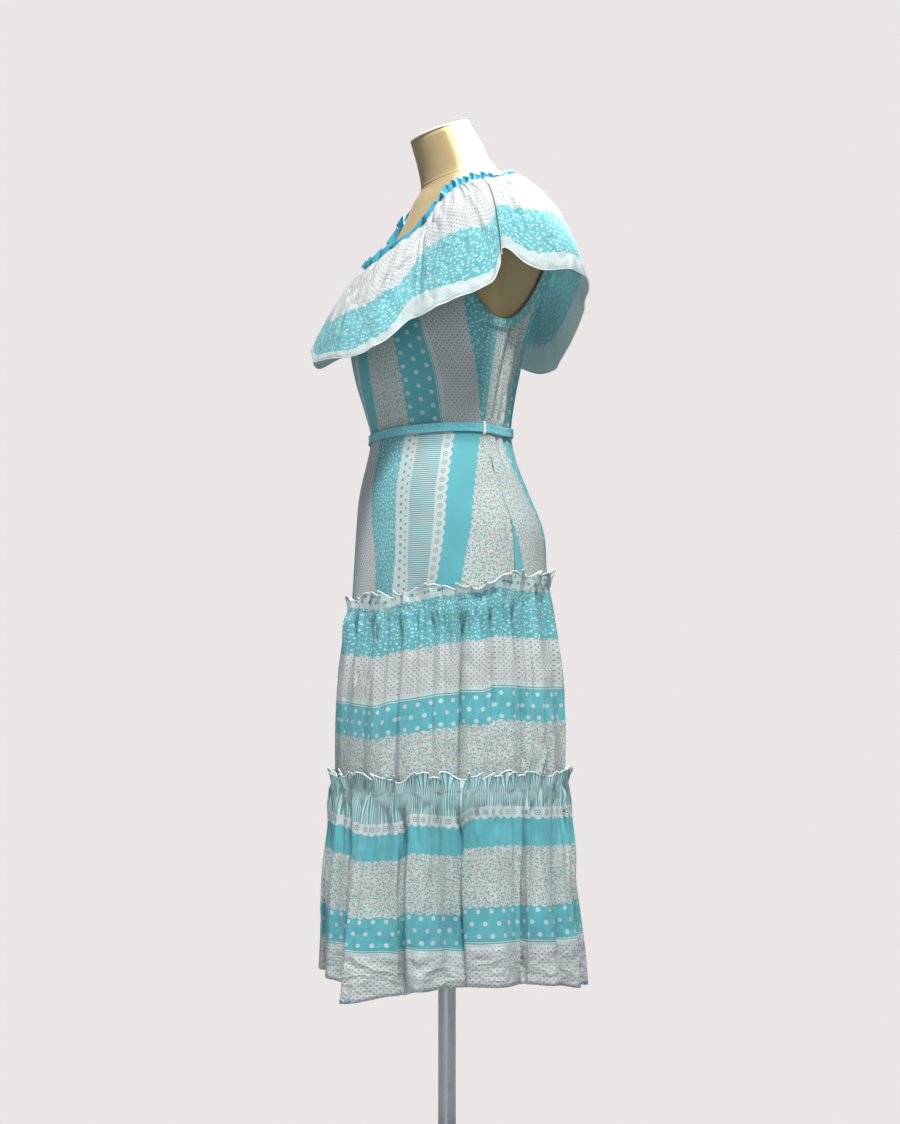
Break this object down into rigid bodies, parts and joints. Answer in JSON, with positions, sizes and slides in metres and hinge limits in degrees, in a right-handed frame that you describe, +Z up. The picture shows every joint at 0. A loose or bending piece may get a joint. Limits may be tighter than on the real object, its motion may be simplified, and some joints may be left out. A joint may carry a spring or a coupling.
{
  "type": "sundress on a dress form",
  "caption": "Cotton sundress in a striped patchwork print, with a collar flounce, narrow belt and gathered tiers, worn on a limbless canvas dress form on a round-based stand.",
  "frame": {"origin": "centre of the underside of the stand's base, on the floor", "axes": "+Z up along the stand's pole, -Y toward the dress's front, +X toward the wearer's left"},
  "size_m": [0.471, 0.4059, 1.522],
  "materials": {
    "printed_cotton": "plain-woven cotton printed in turquoise and white",
    "trim_cotton": "the same cotton from its teal flowered stripe",
    "loop_cotton": "the same cotton from a white stripe",
    "form_canvas": "smooth cream canvas cover",
    "cap_ivory": "plain ivory neck plate",
    "stand_steel": "satin"
  },
  "bodies": {
    "root": {"bodice_front": "printed_cotton", "bodice_back": "printed_cotton", "flounce_front": "printed_cotton", "flounce_back": "printed_cotton", "skirt_yoke_front": "printed_cotton", "skirt_yoke_back": "printed_cotton", "tier_1": "printed_cotton", "tier_2": "printed_cotton", "armhole_binding_left": "trim_cotton", "armhole_binding_right": "trim_cotton", "neck_frill": "trim_cotton", "belt": "trim_cotton", "belt_loop_left": "loop_cotton", "belt_loop_right": "loop_cotton", "form_body": "form_canvas", "form_neck_cap": "cap_ivory", "form_pole": "stand_steel", "form_base": "stand_steel"}
  },
  "joints": []
}
